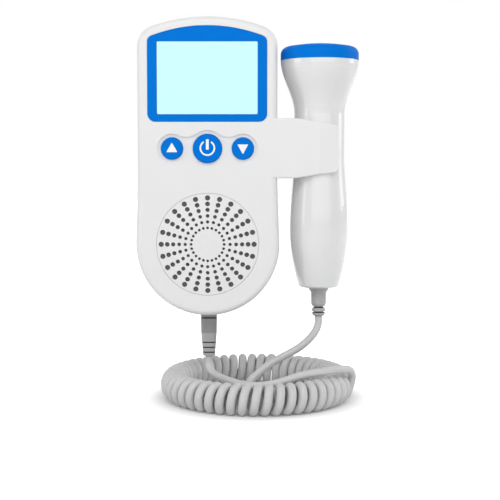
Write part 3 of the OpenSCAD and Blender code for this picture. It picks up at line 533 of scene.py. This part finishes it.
MATERIALS = {
    "shell": make_glossy(moulded("shell", WHITE, 0.45, tone=0.012, grain=0.05), 0.15, 0.2),
    "probe_shell": make_glossy(
        moulded("probe_shell", PROBE_WHITE, 0.4, tone=0.01, grain=0.02), 1.0, 0.04),
    "grille": moulded("grille", WHITE, 0.45, tone=0.012, grain=0.05),
    "blue": make_deep(moulded("blue", BLUE, 0.4, tone=0.04, grain=0.04), 0.03),
    "mark": moulded("mark", (0.95, 0.95, 0.95), 0.4, tone=0.02),
    "lens": lens("lens", LENS_COLOR, LENS_GLOW),
    "lcd": moulded("lcd", (0.55, 0.7, 0.66), 0.2),
    "board": circuit("board"),
    "dark": moulded("dark", (0.03, 0.03, 0.032), 0.5, tone=0.2),
    "cloth": woven("cloth", (0.13, 0.13, 0.135), 0.35),
    "steel": metal("steel", (0.55, 0.55, 0.57), 0.35),
    "cone": moulded("cone", (0.03, 0.03, 0.03), 0.6, tone=0.3, mottle_mm=4),
    "cell": cell_sleeve("cell"),
    "contact": metal("contact", (0.72, 0.7, 0.66), 0.25, (12, 1, 1)),
    "screw": metal("screw", (0.6, 0.6, 0.62), 0.3, (1, 12, 1)),
    "plug": banded(rubber("plug"), PLUG_BANDS),
    "boot": banded(rubber("boot"), BOOT_BANDS),
    "jacket": make_glossy(
        moulded("jacket", CORD_GREY, 0.4, tone=0.04, mottle_mm=9, grain=0.15), 0.15, 0.2),
    "seal": moulded("seal", (0.015, 0.015, 0.015), 0.45, tone=0.2),
    "ceramic": moulded("ceramic", (0.62, 0.5, 0.26), 0.4, tone=0.1, mottle_mm=6),
    "backing": moulded("backing", (0.06, 0.06, 0.065), 0.7, tone=0.2),
}

# The CAD nodes that keep their own shape, by material
NODES_IN = {
    "shell": ["front_shell", "back_shell", "battery_door"],
    "probe_shell": ["probe_front_shell", "probe_back_shell"],
    "grille": ["speaker_grille"],
    "blue": ["display_bezel", "power_button", "volume_up_button", "volume_down_button", "probe_cap"],
    "lens": ["display_window"],
    "lcd": ["lcd_panel"],
    "board": ["main_board", "probe_board"],
    "dark": ["button_switches", "plug_socket", "headphone_socket"],
    "cloth": ["speaker_cloth"],
    "steel": ["speaker_frame"],
    "cone": ["speaker_cone"],
    "cell": ["battery_cells"],
    "contact": ["battery_springs", "contact_bridge", "contact_terminals", "unit_plug_pin"],
    "screw": ["housing_screws"],
    "plug": ["unit_plug"],
    "boot": ["probe_boot"],
    "seal": ["probe_seal"],
    "ceramic": ["transducer"],
    "backing": ["transducer_backing"],
}


def dress(piece, name):
    """Gives a piece its one material."""
    piece.data.materials.clear()
    piece.data.materials.append(MATERIALS[name])


def dress_nodes():
    for name, nodes in NODES_IN.items():
        for node in nodes:
            dress(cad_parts[node], name)


# ---------------------------------------------------------------- studio

AMBIENT = 0.37
FLOOR_HALF = 3000
FLOOR_TONE = 0.8

# The floor shows white from GLOW_TO on, measured from the middle of the cord's ring
GLOW_FROM = 34
GLOW_TO = 70

# Soft lamps in metres and watts: name, place, what it faces, width, height, power
LAMPS = [
    ("key", (0.03, -0.62, 0.52), (0.018, -0.02, 0.0), 0.7, 0.3, 2.45),
    ("front", (0.15, -1.0, 0.18), (0.03, -0.014, 0.0), 1.6, 0.36, 2.35),
    ("rim", (0.87, 0.21, 0.30), (0.051, -0.014, 0.0), 0.4, 0.6, 1.8),
    ("fill", (-0.75, -0.25, 0.2), (-0.03, -0.014, 0.0), 0.4, 0.5, 1.2),
]


def add_area(name, place, target, width, height, power):
    data = bpy.data.lights.new(name, "AREA")
    data.shape = "RECTANGLE"
    data.size = width
    data.size_y = height
    data.energy = power
    light = bpy.data.objects.new(name, data)
    light.location = place
    aim = Vector(target) - Vector(place)
    light.rotation_euler = aim.to_track_quat("-Z", "Y").to_euler()
    light.visible_camera = False
    bpy.context.scene.collection.objects.link(light)


def seen_directly(tree):
    """1 for rays that show the background: from the camera, a gloss or through glass."""
    path = add_node(tree, "ShaderNodeLightPath")
    total = path.outputs["Is Camera Ray"]
    for name in ("Is Glossy Ray", "Is Transmission Ray"):
        both = add_node(tree, "ShaderNodeMath", operation="MAXIMUM")
        tree.links.new(total, both.inputs[0])
        tree.links.new(path.outputs[name], both.inputs[1])
        total = both.outputs["Value"]
    return total


def make_world():
    """White where it is seen, and a softer even light on everything."""
    world = bpy.data.worlds.new("studio")
    bpy.context.scene.world = world
    world.use_nodes = True
    tree = world.node_tree
    tree.nodes.clear()
    soft = add_node(tree, "ShaderNodeBackground", {"Color": (1, 1, 1, 1), "Strength": AMBIENT})
    seen = add_node(tree, "ShaderNodeBackground", {"Color": (1, 1, 1, 1), "Strength": 1.0})
    mixed = add_node(tree, "ShaderNodeMixShader")
    output = add_node(tree, "ShaderNodeOutputWorld")
    tree.links.new(seen_directly(tree), mixed.inputs["Fac"])
    tree.links.new(soft.outputs["Background"], mixed.inputs[1])
    tree.links.new(seen.outputs["Background"], mixed.inputs[2])
    tree.links.new(mixed.outputs["Shader"], output.inputs["Surface"])


def floor_glow(tree):
    """How far the floor shows as white: not at all inside the cord's ring, wholly further out."""
    place = add_node(tree, "ShaderNodeNewGeometry")
    reach = add_node(tree, "ShaderNodeVectorMath", operation="DISTANCE")
    reach.inputs[1].default_value = RING_CENTRE * MM
    glow = add_node(tree, "ShaderNodeMapRange",
                    {"From Min": GLOW_FROM * MM, "From Max": GLOW_TO * MM},
                    interpolation_type="SMOOTHSTEP")
    tree.links.new(place.outputs["Position"], reach.inputs[0])
    tree.links.new(reach.outputs["Value"], glow.inputs["Value"])
    return glow.outputs["Result"]


def make_floor():
    """A pale floor that fades into the white background but keeps the object's shadow."""
    corners = [(-FLOOR_HALF, -FLOOR_HALF), (FLOOR_HALF, -FLOOR_HALF),
               (FLOOR_HALF, FLOOR_HALF), (-FLOOR_HALF, FLOOR_HALF)]
    floor = add_mesh("floor", [(x, y, SURFACE_Z) for x, y in corners], [(0, 1, 2, 3)], smooth=False)
    material = bpy.data.materials.new("floor")
    material.use_nodes = True
    tree = material.node_tree
    tree.nodes.clear()
    matt = add_node(tree, "ShaderNodeBsdfDiffuse", {"Color": (FLOOR_TONE, FLOOR_TONE, FLOOR_TONE, 1)})
    light = add_node(tree, "ShaderNodeEmission", {"Color": (1, 1, 1, 1)})
    strength = add_node(tree, "ShaderNodeMath", operation="MULTIPLY")
    both = add_node(tree, "ShaderNodeAddShader")
    output = add_node(tree, "ShaderNodeOutputMaterial")
    tree.links.new(seen_directly(tree), strength.inputs[0])
    tree.links.new(floor_glow(tree), strength.inputs[1])
    tree.links.new(strength.outputs["Value"], light.inputs["Strength"])
    tree.links.new(matt.outputs["BSDF"], both.inputs[0])
    tree.links.new(light.outputs["Emission"], both.inputs[1])
    tree.links.new(both.outputs["Shader"], output.inputs["Surface"])
    floor.data.materials.append(material)


def make_studio():
    make_world()
    make_floor()
    for lamp in LAMPS:
        add_area(*lamp)
    bpy.context.scene.view_settings.view_transform = "Standard"


# ---------------------------------------------------------------- the scene

make_camera()
make_curly_cord()
make_probe_lead()
dress_nodes()
make_marks()
make_studio()
